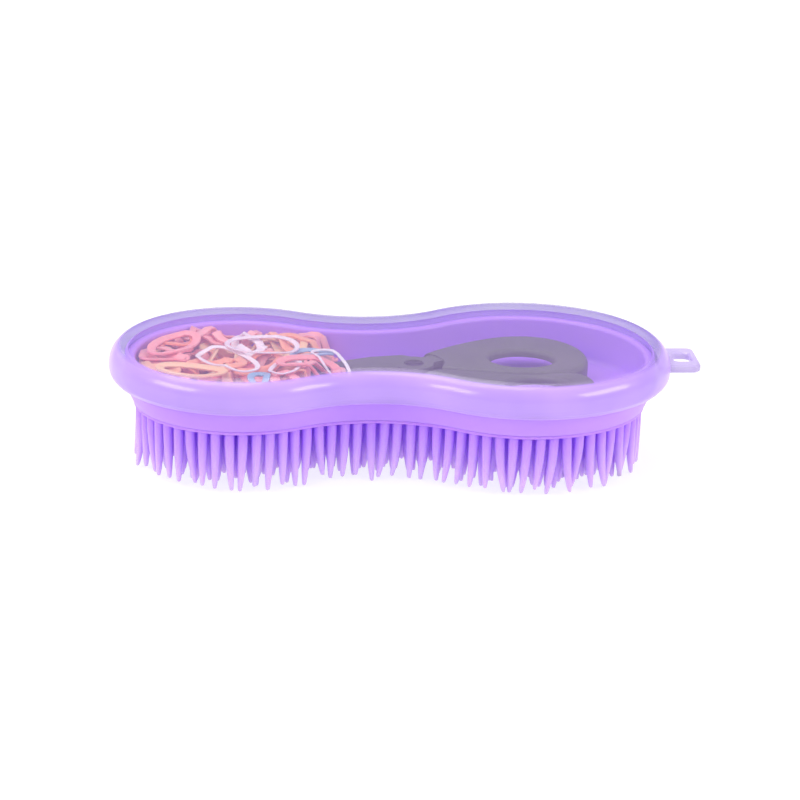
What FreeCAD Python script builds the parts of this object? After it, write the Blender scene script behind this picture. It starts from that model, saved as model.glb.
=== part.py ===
"""Grooming brush with a storage box: silicone bristle pad, tray, clear lid, scissors, elastics.

Millimetres. X runs along the brush, Y across it and Z up. The origin is the bottom centre of the
whole brush, so the bristles' tips stand on z = 0. The shapes are drawn about the middle of the
lid's bead, and export() moves them to the origin.
"""
import FreeCAD, Part
import math
import os

V = FreeCAD.Vector

# ---- driving dimensions -------------------------------------------------------------------
LENGTH = 175.0            # over the lid's bead
SMALL_END = (40.6, 38.8)  # small lobe: tip to lobe centre, half width
LARGE_END = (45.8, 43.3)  # large lobe: tip to lobe centre, half width
WAIST_R = 41.0            # hollow of the waist
SIDE_FLATNESS = 1.03      # how much flatter an end is than an ellipse's

TAB_REACH = 9.0           # hanging tab beyond the bead
TAB_WIDTH = 17.0
TAB_THICK = 2.6
TAB_Z = 32.0
TAB_HOLE = (5.6, 8.4)     # along X, along Y

PAD_BOTTOM = 19.1         # roots of the bristles
PAD_TOP = 20.3
PLUG_HEIGHT = 0.9         # raised step of the pad in the tray's recess
FLOOR_TOP = 22.3          # inside floor of the tray
SHOULDER_Z = 27.0         # where the lid sits on the tray
RIM_TOP = 34.6
LID_TOP = 39.0
CEILING = 36.8            # underside of the lid's window

PAD_INSET = 7.5           # insets are measured inwards from the bead's outline
PLUG_INSET = 10.5
SKIRT_INSET = (7.3, 4.4)  # bottom, top
RIM_INSET = 5.2
BOX_INSET = 8.2
LID_MOUTH_INSET = 4.85
PLAY = 0.1                # pad's plug in its recess

BRISTLE_PITCH = 4.1
BRISTLE_ROOT_R = 1.5
BRISTLE_TIP_R = 0.6
EDGE_ROW_INSET = 9.7
FIELD_INSET = 13.3

PIVOT = (7.3, 2.0)        # scissors' screw
SCISSORS_BOTTOM = 22.4
HANDLE_TOP = 31.0
LOOP_LOW = 28.5           # underside of the finger loops, between their two feet
FEET = (19.0, 50.0)       # from the pivot: where the near foot ends and the far one starts
BLADE_Z = (25.1, 26.65)   # undersides of the lower and upper blades
BLADE_THICK = 1.5
BLADE_REACH = 38.0
BLADE_WIDTH = 7.2
BLADE_TURN = (2.0, 7.0)   # lower and upper blade, degrees from the brush's length
TANG = (17.0, 4.4)        # length from the pivot, width
TANG_TURN = (50.0, 33.0)
NECK_REACH = 9.6          # radius round the pivot that the thick grips stay out of
NECK_WIDTH = 6.0
SCREW_R = 1.5
HEAD_R = 3.0
BORE_PLAY = 0.05
BOSS_R = 6.2

BAND_THICK = 1.5          # elastics: wall and height of a loop
LAYER_PITCH = 1.65

X_SHIFT = -TAB_REACH / 2.0


# ---- outline ------------------------------------------------------------------------------
def lobe(end):
    """Radii of a lobe's tip arc and side arc, and how far the side arc's centre lies across."""
    reach, half = end
    tip_r = SIDE_FLATNESS * half * half / reach
    across = ((reach - tip_r) ** 2 - (half - tip_r) ** 2) / (2.0 * (half - tip_r))
    return tip_r, half + across, across


def arc_point(centre, radius, degrees):
    a = math.radians(degrees)
    return V(centre[0] + radius * math.cos(a), centre[1] + radius * math.sin(a), 0)


def waist_centre():
    """Centre of the waist's hollow arc, outside the two side arcs and touching both."""
    x1, x2 = -LENGTH / 2 + SMALL_END[0], LENGTH / 2 - LARGE_END[0]
    _, r1, k1 = lobe(SMALL_END)
    _, r2, k2 = lobe(LARGE_END)
    d1, d2 = r1 + WAIST_R, r2 + WAIST_R
    base = math.hypot(x2 - x1, k1 - k2)
    along = (d1 * d1 - d2 * d2 + base * base) / (2 * base)
    rise = math.sqrt(d1 * d1 - along * along)
    ux, uy = (x2 - x1) / base, (k1 - k2) / base
    return x1 + along * ux - rise * uy, -k1 + along * uy + rise * ux


def half_arcs(inset):
    """The arcs of the upper half, from the small end to the large end."""
    wx, wy = waist_centre()
    arcs = []
    for side, end in ((-1, SMALL_END), (1, LARGE_END)):
        tip_r, side_r, across = lobe(end)
        lobe_x = side * (LENGTH / 2 - end[0])
        tip_x = side * (LENGTH / 2 - tip_r)
        split = math.degrees(math.atan2(across, tip_x - lobe_x))
        to_waist = math.degrees(math.atan2(wy + across, wx - lobe_x))
        tip_end = 180.0 if side < 0 else 0.0
        tip = ((tip_x, 0.0), tip_r - inset, tip_end, split)
        flank = ((lobe_x, -across), side_r - inset, split, to_waist)
        arcs.append((tip, flank))
    (tip1, flank1), (tip2, flank2) = arcs
    waist = ((wx, wy), WAIST_R + inset, flank1[3] - 180.0, flank2[3] - 180.0)
    turned = [(c, r, b, a) for c, r, a, b in (flank2, tip2)]
    return [tip1, flank1, waist] + turned


def outline(inset, z=0.0):
    """Closed wire of the figure-eight outline, moved inwards by inset."""
    edges = []
    for centre, radius, a, b in half_arcs(inset):
        points = [arc_point(centre, radius, t) for t in (a, (a + b) / 2.0, b)]
        edges.append(Part.Arc(*points).toShape())
    lower = [e.mirror(V(0, 0, 0), V(0, 1, 0)) for e in edges]
    wire = Part.Wire(Part.__sortEdges__(edges + lower))
    wire.translate(V(0, 0, z))
    return wire


def slab(inset, low, high):
    return Part.Face(outline(inset, low)).extrude(V(0, 0, high - low))


def edges_at(shape, z, inset_from=None):
    """Edges lying flat at height z; inset_from keeps the outermost ring's edges only."""
    flat = [e for e in shape.Edges
            if abs(e.BoundBox.ZMin - z) < 1e-3 and abs(e.BoundBox.ZMax - z) < 1e-3]
    if inset_from is None:
        return flat
    rim = outline(inset_from, z)
    return [e for e in flat if rim.distToShape(Part.Vertex(e.valueAt(
        (e.FirstParameter + e.LastParameter) / 2)))[0] < 0.05]


def half_width(x, inset):
    """Half width of the outline at a place along it."""
    line = Part.makeLine(V(x, 0, 0), V(x, LENGTH, 0))
    hit = Part.Face(outline(inset)).common(line)
    return hit.BoundBox.YMax if hit.Edges else 0.0


# ---- brush body ---------------------------------------------------------------------------
def make_tray():
    skirt = Part.makeLoft([outline(SKIRT_INSET[0], PAD_TOP), outline(SKIRT_INSET[1], SHOULDER_Z)],
                          True, True)
    rim = slab(RIM_INSET, SHOULDER_Z - 0.5, RIM_TOP)
    body = skirt.fuse(rim).removeSplitter()
    body = body.makeFillet(1.2, edges_at(body, RIM_TOP))
    box = slab(BOX_INSET, FLOOR_TOP, RIM_TOP + 1)
    box = box.makeFillet(2.4, edges_at(box, FLOOR_TOP))
    recess = slab(PLUG_INSET - PLAY, PAD_TOP - 1, PAD_TOP + PLUG_HEIGHT + PLAY)
    return body.cut(box).cut(recess)


def make_tab():
    reach = LENGTH / 2 + TAB_REACH
    root = LENGTH / 2 - 4.0
    block = Part.makeBox(reach - root, TAB_WIDTH, TAB_THICK,
                         V(root, -TAB_WIDTH / 2, TAB_Z - TAB_THICK / 2))
    outer = [e for e in block.Edges
             if e.BoundBox.XMin > reach - 0.01 and e.BoundBox.ZLength > TAB_THICK / 2]
    block = block.makeFillet(3.0, outer)
    hole_x = reach - 2.2 - TAB_HOLE[0]
    hole = Part.makeBox(TAB_HOLE[0], TAB_HOLE[1], TAB_THICK + 2,
                        V(hole_x, -TAB_HOLE[1] / 2, TAB_Z - TAB_THICK / 2 - 1))
    uprights = [e for e in hole.Edges if e.BoundBox.ZLength > TAB_THICK]
    return block.cut(hole.makeFillet(1.2, uprights))


def make_lid():
    """One clear moulding: a fat round bead, a flat window inside it, and the hanging tab."""
    bead = slab(0, SHOULDER_Z, LID_TOP)
    bead = bead.makeFillet(6.8, edges_at(bead, LID_TOP))
    bead = bead.makeFillet(3.9, edges_at(bead, SHOULDER_Z))
    lid = bead.fuse(make_tab())
    inside = slab(LID_MOUTH_INSET, SHOULDER_Z - 1, CEILING)
    inside = inside.makeFillet(2.0, edges_at(inside, CEILING))
    return lid.cut(inside)


def bristle_places():
    """One row that follows the edge, and a staggered field inside it."""
    edge = outline(EDGE_ROW_INSET)
    count = round(edge.Length / BRISTLE_PITCH)
    places = [(p.x, p.y) for p in edge.discretize(Number=count + 1)[:-1]]
    field = Part.Face(outline(FIELD_INSET))
    row_gap = BRISTLE_PITCH * math.sqrt(3) / 2
    rows = int(LARGE_END[1] / row_gap)
    columns = int(LENGTH / 2 / BRISTLE_PITCH)
    for row in range(-rows, rows + 1):
        offset = BRISTLE_PITCH / 2 if row % 2 else 0.0
        for column in range(-columns, columns + 1):
            point = V(column * BRISTLE_PITCH + offset, row * row_gap, 0)
            if field.isInside(point, 0.01, True):
                places.append((point.x, point.y))
    return places


def make_bristle_pad():
    """Flat silicone pad with all its bristles, moulded in one."""
    pad = slab(PAD_INSET, PAD_BOTTOM, PAD_TOP)
    plug = slab(PLUG_INSET, PAD_TOP - 0.2, PAD_TOP + PLUG_HEIGHT)
    bristles = [Part.makeCone(BRISTLE_TIP_R, BRISTLE_ROOT_R, PAD_BOTTOM + 0.1, V(x, y, 0))
                for x, y in bristle_places()]
    return pad.multiFuse([plug] + bristles).removeSplitter()


# ---- scissors -----------------------------------------------------------------------------
def at_pivot(shape):
    shape.translate(V(PIVOT[0], PIVOT[1], 0))
    return shape


def spline_face(points, z):
    curve = Part.BSplineCurve()
    curve.interpolate(Points=[V(x, y, z) for x, y in points], PeriodicFlag=True)
    return Part.Face(Part.Wire(curve.toShape()))


def ellipse_hole(centre, radii, angle):
    """Upright column with an oval section, through the whole height of a handle."""
    curve = Part.Ellipse(V(0, 0, 0), radii[0], radii[1]).toShape()
    column = Part.Face(Part.Wire(curve)).extrude(V(0, 0, HANDLE_TOP))
    column.rotate(V(0, 0, 0), V(0, 0, 1), angle)
    column.translate(V(centre[0], centre[1], SCISSORS_BOTTOM - 1))
    return column


# Each finger loop's rim, from the pivot round the outside and back, measured from the pivot.
REAR_RIM = [(3.0, -2.0), (2.0, 5.0), (8.5, 13.0), (21.0, 21.5), (34.0, 26.0), (45.0, 24.0),
            (53.0, 16.0), (55.6, 4.5), (51.0, -7.0), (40.0, -9.9), (22.0, -8.0), (9.0, -5.0)]
REAR_HOLE = ((34.5, 3.7), (10.2, 8.0), -4)
FRONT_RIM = [(9.0, -5.9), (22.0, -8.8), (40.0, -10.7), (50.0, -9.9), (54.5, -16.5),
             (51.5, -25.0), (43.0, -30.0), (31.0, -30.2), (19.0, -25.0), (8.0, -16.0), (2.5, -9.0)]
FRONT_HOLE = ((36.8, -20.6), (10.0, 6.1), -6)
# The plastic back that the rear handle lays over the upper blade, measured from the pivot.
SHROUD_RIM = [(2.0, 5.6), (-3.0, 8.3), (-13.0, 6.6), (-21.0, 3.4), (-32.5, -2.2), (-33.5, -4.6),
              (-32.0, -5.6), (-21.0, -4.9), (-13.0, -3.6), (-4.0, -3.8), (2.0, -4.0)]


def blade(low, blade_turn, tang_turn):
    """Flat tapered blade pointing to -X, with a tang that runs back into its handle."""
    half = BLADE_WIDTH / 2
    side = 1 if blade_turn > 0 else -1
    rim = [V(0, half, 0), V(-8, half, 0), V(-BLADE_REACH + 2, -half * 0.2, 0),
           V(-BLADE_REACH, -half * 0.7, 0), V(-8, -half, 0), V(0, -half, 0)]
    rim = [V(p.x, side * p.y, 0) for p in rim]
    plate = Part.Face(Part.makePolygon(rim + rim[:1])).extrude(V(0, 0, BLADE_THICK))
    plate.rotate(V(0, 0, 0), V(0, 0, 1), blade_turn)
    tang = Part.makeBox(TANG[0], TANG[1], BLADE_THICK, V(0, -TANG[1] / 2, 0))
    tang.rotate(V(0, 0, 0), V(0, 0, 1), tang_turn)
    whole = plate.fuse([tang, Part.makeCylinder(half + 0.6, BLADE_THICK)]).removeSplitter()
    whole = whole.cut(Part.makeCylinder(SCREW_R + BORE_PLAY, 10, V(0, 0, -5)))
    whole.translate(V(0, 0, low))
    return whole


def loop_hollow():
    """Wedge-ended block that thins the finger loops from below, so that fingers fit round."""
    near, far = FEET
    side = [V(near, -60, SCISSORS_BOTTOM - 1), V(near + 3, -60, LOOP_LOW),
            V(far - 3, -60, LOOP_LOW), V(far, -60, SCISSORS_BOTTOM - 1)]
    return Part.Face(Part.makePolygon(side + side[:1])).extrude(V(0, 120, 0))


def handle(rim, hole, boss_low, boss_high, tang_turn):
    """Finger loop on two feet, with a thinner boss and neck that reach to the pivot."""
    grip = spline_face(rim, SCISSORS_BOTTOM).extrude(V(0, 0, HANDLE_TOP - SCISSORS_BOTTOM))
    grip = grip.cut(ellipse_hole(*hole))
    ends = edges_at(grip, SCISSORS_BOTTOM) + edges_at(grip, HANDLE_TOP)
    grip = grip.makeFillet(1.6, ends)
    grip = grip.cut([Part.makeCylinder(NECK_REACH, 40), loop_hollow()])
    height = boss_high - boss_low
    boss = Part.makeCylinder(BOSS_R, height, V(0, 0, boss_low))
    neck = Part.makeBox(NECK_REACH + 3, NECK_WIDTH, height, V(0, -NECK_WIDTH / 2, boss_low))
    neck.rotate(V(0, 0, 0), V(0, 0, 1), tang_turn)
    return grip.fuse([boss, neck]).removeSplitter()


def blade_back(low, high):
    """Tapered plate that covers most of the upper blade, with its top edge softened."""
    rim = [V(x, y, low) for x, y in SHROUD_RIM]
    plate = Part.Face(Part.makePolygon(rim + rim[:1])).extrude(V(0, 0, high - low))
    return plate.makeFillet(0.7, edges_at(plate, high))


def make_scissors():
    lower = blade(BLADE_Z[0], -BLADE_TURN[0], -TANG_TURN[0])
    upper = blade(BLADE_Z[1], BLADE_TURN[1], TANG_TURN[1])
    boss_low = BLADE_Z[1] + BLADE_THICK
    boss_high = HANDLE_TOP - 0.4
    rear = handle(REAR_RIM, REAR_HOLE, boss_low, boss_high, TANG_TURN[1])
    rear = rear.fuse(blade_back(boss_low, boss_high)).removeSplitter()
    front = handle(FRONT_RIM, FRONT_HOLE, SCISSORS_BOTTOM, BLADE_Z[0], -TANG_TURN[0])
    head_low = HANDLE_TOP - 1.7
    shaft_low = SCISSORS_BOTTOM + 0.3
    shaft = Part.makeCylinder(SCREW_R, head_low - shaft_low + 0.1, V(0, 0, shaft_low))
    head = Part.makeCylinder(HEAD_R, 1.0, V(0, 0, head_low))
    slot = Part.makeBox(2 * HEAD_R, 0.7, 1.0, V(-HEAD_R, -0.35, head_low + 0.55))
    screw = shaft.fuse(head).cut(slot)
    seat = Part.makeCylinder(HEAD_R + 0.1, 5, V(0, 0, head_low))
    rear = rear.cut([upper, Part.makeCylinder(SCREW_R, 40), seat])
    front = front.cut([lower, Part.makeCylinder(SCREW_R + BORE_PLAY, 40)])
    pieces = {"rear_handle": rear, "front_handle": front, "upper_blade": upper,
              "lower_blade": lower, "pivot_screw": screw}
    return {"scissors_" + name: at_pivot(shape) for name, shape in pieces.items()}


# ---- elastics -----------------------------------------------------------------------------
def band(x, y, layer, length, width, angle):
    """Rubber loop lying flat: two straight runs joined by half circles."""
    def plate(shrink):
        r = width / 2 - shrink
        run = (length - width) / 2
        top = Part.makeLine(V(-run, r, 0), V(run, r, 0))
        right = Part.Arc(V(run, r, 0), V(run + r, 0, 0), V(run, -r, 0)).toShape()
        under = Part.makeLine(V(run, -r, 0), V(-run, -r, 0))
        left = Part.Arc(V(-run, -r, 0), V(-run - r, 0, 0), V(-run, r, 0)).toShape()
        return Part.Face(Part.Wire([top, right, under, left])).extrude(V(0, 0, BAND_THICK))
    loop = plate(0).cut(plate(BAND_THICK))
    loop.rotate(V(0, 0, 0), V(0, 0, 1), angle)
    loop.translate(V(x, y, FLOOR_TOP + 0.1 + layer * LAYER_PITCH))
    return loop


# Loops by colour: place of the middle, layer, length, width and turn.
BANDS = {
    "pink": [(-65, 11, 0, 20, 13, 35), (-64, -9, 0, 21, 12, -55), (-44.5, 20.5, 0, 21, 12, 10),
             (-44, -20.5, 0, 20, 12, -12), (-57, 2, 1, 18, 12, 80), (-38, 20, 2, 22, 12, -25),
             (-62, 15, 2, 22, 13, 55), (-62, -12, 2, 22, 13, -40)],
    "orange": [(-66, 3, 3, 20, 13, 85), (-43, -18, 1, 22, 11, -5), (-42, 21, 1, 22, 11, 15),
               (-40, -19, 3, 24, 11, 10), (-48, 22, 3, 20, 11, -10), (-63, -11, 4, 19, 12, -35)],
    "yellow": [(-62, 14, 4, 22, 13, 30), (-43, -20, 4, 16, 10, 0), (-40, 20, 4, 20, 11, 20),
               (-24, 16, 1, 16, 9, -20)],
    "clear": [(-58, 2, 5, 22, 14, 20), (-41, -18, 5, 20, 11, -20), (-26, 17, 3, 18, 10, -30),
              (-44, 20, 5, 20, 11, -10)],
    "blue": [(-23, -15.5, 1, 13, 8, 10), (-30, -17, 2, 14, 8, 40), (-70, -6, 1, 14, 9, 60)],
}


def make_bands(places):
    return Part.makeCompound([band(*place) for place in places])


# ---- export -------------------------------------------------------------------------------
def export(name, shape):
    shape.translate(V(X_SHIFT, 0, 0))
    shape.exportStep("parts/" + name + ".step")
    box = shape.optimalBoundingBox(False)
    print("%-24s solids %3d valid %s volume %9.1f  x %.1f %.1f  y %.1f %.1f  z %.1f %.1f" % (
        name, len(shape.Solids), shape.isValid(), shape.Volume, box.XMin, box.XMax,
        box.YMin, box.YMax, box.ZMin, box.ZMax))


def main():
    os.makedirs("parts", exist_ok=True)
    export("bristle_pad", make_bristle_pad())
    export("storage_tray", make_tray())
    export("lid", make_lid())
    for name, shape in make_scissors().items():
        export(name, shape)
    for colour, places in BANDS.items():
        export("elastics_" + colour, make_bands(places))


main()
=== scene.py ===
# %% [markdown]
# # A grooming brush with a storage box
# This brush is a figure-eight tray with a silicone bristle pad under it and a clear lid clipped
# over it. Small scissors and a heap of braiding elastics lie inside. The sizes and the moving
# bodies come from a fixed model, the frame, and this file only builds what the eye sees round it.
# We load the frame first and note its box, because every later size is measured against it.

# %% Load the fixed frame
import math
import random

import bmesh
import bpy
import numpy as np
from mathutils import Matrix, Vector
from mathutils.bvhtree import BVHTree


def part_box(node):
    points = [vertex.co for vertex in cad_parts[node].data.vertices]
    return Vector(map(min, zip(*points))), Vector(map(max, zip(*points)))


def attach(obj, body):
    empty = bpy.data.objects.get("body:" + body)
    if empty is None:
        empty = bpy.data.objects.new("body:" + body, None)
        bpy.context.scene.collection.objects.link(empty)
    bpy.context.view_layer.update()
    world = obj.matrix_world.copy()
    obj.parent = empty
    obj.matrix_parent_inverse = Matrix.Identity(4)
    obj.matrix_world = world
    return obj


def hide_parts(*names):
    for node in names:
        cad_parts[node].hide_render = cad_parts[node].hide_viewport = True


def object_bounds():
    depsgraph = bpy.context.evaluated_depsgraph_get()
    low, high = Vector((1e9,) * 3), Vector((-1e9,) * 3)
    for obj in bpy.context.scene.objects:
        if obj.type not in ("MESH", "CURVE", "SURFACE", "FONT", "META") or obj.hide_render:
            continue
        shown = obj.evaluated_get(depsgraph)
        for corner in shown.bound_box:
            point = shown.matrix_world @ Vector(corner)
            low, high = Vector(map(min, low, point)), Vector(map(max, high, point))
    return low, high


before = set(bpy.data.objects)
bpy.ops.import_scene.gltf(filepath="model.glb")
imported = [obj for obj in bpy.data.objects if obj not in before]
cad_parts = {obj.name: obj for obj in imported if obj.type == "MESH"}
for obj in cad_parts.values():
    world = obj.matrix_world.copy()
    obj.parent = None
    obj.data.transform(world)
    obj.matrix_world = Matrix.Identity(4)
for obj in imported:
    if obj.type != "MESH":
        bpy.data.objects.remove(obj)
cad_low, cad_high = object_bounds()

MM = 0.001
scene = bpy.context.scene
scene.view_settings.view_transform = "Standard"
print("frame box, mm:", [round(c / MM, 1) for c in (*cad_low, *cad_high)])

# %% [markdown]
# ## The camera
# The brush is seen from the front, a little from its small end, and from about 20 degrees above.
# A long lens from 0.83 m keeps the far rim nearly as wide as the near one. We aim with a direction
# and a roll, so that turning the view later needs no new numbers.

# %% Camera
LENGTH = 175 * MM
lid_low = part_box("lid")[0]
MIDDLE = lid_low.x + LENGTH / 2
VIEW_TURN, VIEW_RISE, VIEW_ROLL = 5.26, 20.0, 1.64
VIEW_DISTANCE = 832.6 * MM
VIEW_AIM = Vector((MIDDLE + 3.1 * MM, 0.0, 19.0 * MM))


def make_camera():
    turn, rise = math.radians(VIEW_TURN), math.radians(VIEW_RISE)
    back = Vector((-math.sin(turn) * math.cos(rise), -math.cos(turn) * math.cos(rise),
                   math.sin(rise)))
    data = bpy.data.cameras.new("camera")
    data.lens = 119.5
    data.clip_end = 20.0
    camera = bpy.data.objects.new("camera", data)
    scene.collection.objects.link(camera)
    camera.rotation_mode = "QUATERNION"
    aim = (-back).to_track_quat("-Z", "Y").to_matrix().to_4x4()
    roll = Matrix.Rotation(math.radians(VIEW_ROLL), 4, "Z")
    camera.rotation_quaternion = (aim @ roll).to_quaternion()
    camera.location = VIEW_AIM + back * VIEW_DISTANCE
    scene.camera = camera
    return camera


camera = make_camera()
print("camera at, mm:", [round(c / MM) for c in camera.location])

# %% [markdown]
# ## Shader maths as Python
# A material's pattern is arithmetic on textures. Written as nodes by hand it is long, so this small
# class wraps a node's output and overloads + - * /, and each use adds one Math node. One method,
# make, adds any other node from its type, its settings and the values or links of its sockets.

# %% Node helpers


def plug(tree, socket, value):
    """Link an output into a socket, or set the socket's own value."""
    if isinstance(value, Output):
        tree.links.new(value.socket, socket)
    else:
        socket.default_value = value


class Output:
    """A node's output, with Python's arithmetic."""

    def __init__(self, tree, socket):
        self.tree = tree
        self.socket = socket

    def maths(self, operation, first, second):
        node = self.tree.nodes.new("ShaderNodeMath")
        node.operation = operation
        plug(self.tree, node.inputs[0], first)
        plug(self.tree, node.inputs[1], second)
        return Output(self.tree, node.outputs[0])

    def __add__(self, other):
        return self.maths("ADD", self, other)

    def __radd__(self, other):
        return self.maths("ADD", other, self)

    def __sub__(self, other):
        return self.maths("SUBTRACT", self, other)

    def __rsub__(self, other):
        return self.maths("SUBTRACT", other, self)

    def __mul__(self, other):
        return self.maths("MULTIPLY", self, other)

    def __rmul__(self, other):
        return self.maths("MULTIPLY", other, self)

    def __truediv__(self, other):
        return self.maths("DIVIDE", self, other)

    def __pow__(self, other):
        return self.maths("POWER", self, other)


class Nodes:
    """A node tree that is built by calls."""

    def __init__(self, tree):
        self.tree = tree

    def make(self, kind, settings=None, sockets=None, output=0):
        node = self.tree.nodes.new(kind)
        for name, value in (settings or {}).items():
            if name == "stops":
                set_stops(node.color_ramp, value)
            else:
                setattr(node, name, value)
        for name, value in (sockets or {}).items():
            plug(self.tree, node.inputs[name], value)
        return Output(self.tree, node.outputs[output])


def set_stops(ramp, stops):
    while len(ramp.elements) < len(stops):
        ramp.elements.new(1.0)
    for element, (place, colour) in zip(ramp.elements, stops):
        element.position = place
        element.color = colour if len(colour) == 4 else (*colour, 1.0)


def linear(red, green, blue):
    """Screen colour, 0 to 255, as the linear colour that shaders use."""
    def one(c):
        c = c / 255
        return c / 12.92 if c <= 0.04045 else ((c + 0.055) / 1.055) ** 2.4
    return (one(red), one(green), one(blue), 1.0)


def new_material(name):
    material = bpy.data.materials.new(name)
    material.use_nodes = True
    material.node_tree.nodes.clear()
    return material, Nodes(material.node_tree)


def finish_material(nodes, surface):
    out = nodes.tree.nodes.new("ShaderNodeOutputMaterial")
    nodes.tree.links.new(surface.socket, out.inputs["Surface"])


# %% [markdown]
# ## The stage
# The brush stands on its bristles on a plain, nearly white surface, in soft light from all round.
# Two long lamps at the front draw the streaks that show how round and glossy the lid's bead is, and
# a broad one above lights the tray's floor through the window. The floor glows a little itself,
# which keeps it white under the bristles.

# %% Floor and lights
FLOOR_GAP = 0.02 * MM


def mesh_object(name, mesh):
    item = bpy.data.objects.new(name, mesh)
    scene.collection.objects.link(item)
    return item


def make_floor():
    half, z = 3.0, cad_low.z - FLOOR_GAP
    mesh = bpy.data.meshes.new("floor")
    corners = [(-half, -half, z), (half, -half, z), (half, half, z), (-half, half, z)]
    mesh.from_pydata(corners, [], [(0, 1, 2, 3)])
    material, nodes = new_material("pale_floor")
    surface = nodes.make("ShaderNodeBsdfPrincipled", None,
                         {"Base Color": (0.3, 0.3, 0.3, 1), "Roughness": 0.9,
                          "Emission Color": (1, 1, 1, 1), "Emission Strength": 0.78})
    finish_material(nodes, surface)
    mesh.materials.append(material)
    floor = mesh_object("floor", mesh)


def area_light(name, place, aim, size, power):
    data = bpy.data.lights.new(name, "AREA")
    data.shape = "RECTANGLE"
    data.size, data.size_y = size
    data.energy = power
    lamp = bpy.data.objects.new(name, data)
    scene.collection.objects.link(lamp)
    lamp.location = place
    lamp.rotation_mode = "QUATERNION"
    lamp.rotation_quaternion = (Vector(aim) - Vector(place)).to_track_quat("-Z", "Y")


def make_lights():
    world = bpy.data.worlds.new("soft_room")
    world.use_nodes = True
    world.node_tree.nodes["Background"].inputs["Color"].default_value = (1, 1, 1, 1)
    world.node_tree.nodes["Background"].inputs["Strength"].default_value = 0.58
    scene.world = world
    middle = (MIDDLE, 0, 30 * MM)
    area_light("left_lamp", (-0.95, -0.50, 0.62), middle, (0.80, 0.32), 4.8)
    area_light("right_lamp", (0.95, -0.50, 0.60), middle, (0.80, 0.32), 5.2)
    area_light("top_lamp", (-0.3, 0.1, 1.3), middle, (1.2, 1.2), 11.0)


make_floor()
make_lights()
print("stage ready")

# %% [markdown]
# ## The outline
# Everything in the body follows one figure-eight line: two lobes of three arcs each, joined by a
# hollow arc at each side of the waist. We keep it as arcs, so moving inwards by an inset only
# changes each radius, and walk round it once to get evenly spaced points.

# %% Outline of the brush
SMALL_END = (40.6 * MM, 38.8 * MM)
LARGE_END = (45.8 * MM, 43.3 * MM)
WAIST_R = 41.0 * MM
SIDE_FLATNESS = 1.03


def lobe(end):
    """Radii of a lobe's tip arc and side arc, and how far the side arc's centre lies across."""
    reach, half = end
    tip_r = SIDE_FLATNESS * half * half / reach
    across = ((reach - tip_r) ** 2 - (half - tip_r) ** 2) / (2 * (half - tip_r))
    return tip_r, half + across, across


def waist_centre():
    x1, x2 = -LENGTH / 2 + SMALL_END[0], LENGTH / 2 - LARGE_END[0]
    _, r1, k1 = lobe(SMALL_END)
    _, r2, k2 = lobe(LARGE_END)
    d1, d2 = r1 + WAIST_R, r2 + WAIST_R
    base = math.hypot(x2 - x1, k1 - k2)
    along = (d1 * d1 - d2 * d2 + base * base) / (2 * base)
    rise = math.sqrt(d1 * d1 - along * along)
    ux, uy = (x2 - x1) / base, (k1 - k2) / base
    return x1 + along * ux - rise * uy, -k1 + along * uy + rise * ux


def half_arcs():
    """Centre, radius, start and end angle of each arc, from the large end over the far side."""
    wx, wy = waist_centre()
    sides = {}
    for side, end in ((-1, SMALL_END), (1, LARGE_END)):
        tip_r, side_r, across = lobe(end)
        lobe_x = side * (LENGTH / 2 - end[0])
        tip_x = side * (LENGTH / 2 - tip_r)
        split = math.atan2(across, tip_x - lobe_x)
        to_waist = math.atan2(wy + across, wx - lobe_x)
        tip_end = math.pi if side < 0 else 0.0
        sides[side] = [((tip_x, 0.0), tip_r, tip_end, split),
                       ((lobe_x, -across), side_r, split, to_waist)]
    tip1, flank1 = sides[-1]
    tip2, flank2 = sides[1]
    waist = ((wx, wy), -WAIST_R, flank2[3] + math.pi, flank1[3] + math.pi)
    back = [(c, r, b, a) for c, r, a, b in (flank1, tip1)]
    return [tip2, flank2, waist] + back


def outline_points(inset, spacing=1.5 * MM):
    """Points round the outline, anticlockwise seen from above, moved inwards by inset."""
    far = []
    for (cx, cy), radius, a, b in half_arcs():
        steps = max(2, round(abs(radius) * abs(b - a) / spacing))
        r = abs(radius - inset)
        for i in range(steps):
            t = a + (b - a) * i / steps
            far.append((cx + r * math.cos(t), cy + r * math.sin(t)))
    end = (-LENGTH / 2 + inset, 0.0)
    near = [(x, -y) for x, y in reversed(far[1:])]
    return [(x + MIDDLE, y) for x, y in far + [end] + near]


def curve_object(name, points, closed):
    data = bpy.data.curves.new(name, "CURVE")
    data.dimensions = "3D"
    spline = data.splines.new("POLY")
    spline.points.add(len(points) - 1)
    for item, point in zip(spline.points, points):
        item.co = (*point, 1.0)
    spline.use_cyclic_u = closed
    item = bpy.data.objects.new(name, data)
    scene.collection.objects.link(item)
    return item


print("outline has", len(outline_points(0)), "points")

# %% [markdown]
# ## One tree for every moulded ring
# The lid, the tray and the pad's edge are all a section carried round the outline, as the tool that
# cut their mould went round it. Geometry Nodes do that with Curve to Mesh. The section is drawn as
# (inset, height) pairs, and the same small tree serves every ring.

# %% Geometry Nodes: carry a section round the outline


def new_geometry_tree(name, inputs):
    tree = bpy.data.node_groups.new(name, "GeometryNodeTree")
    face = tree.interface
    face.new_socket(name="Geometry", in_out="INPUT", socket_type="NodeSocketGeometry")
    face.new_socket(name="Geometry", in_out="OUTPUT", socket_type="NodeSocketGeometry")
    sockets = {}
    for label, kind in inputs.items():
        sockets[label] = face.new_socket(name=label, in_out="INPUT", socket_type=kind).identifier
    nodes = Nodes(tree)
    group = tree.nodes.new("NodeGroupInput")
    outputs = {o.name: Output(tree, o) for o in group.outputs if o.name}
    return nodes, outputs, sockets


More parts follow.
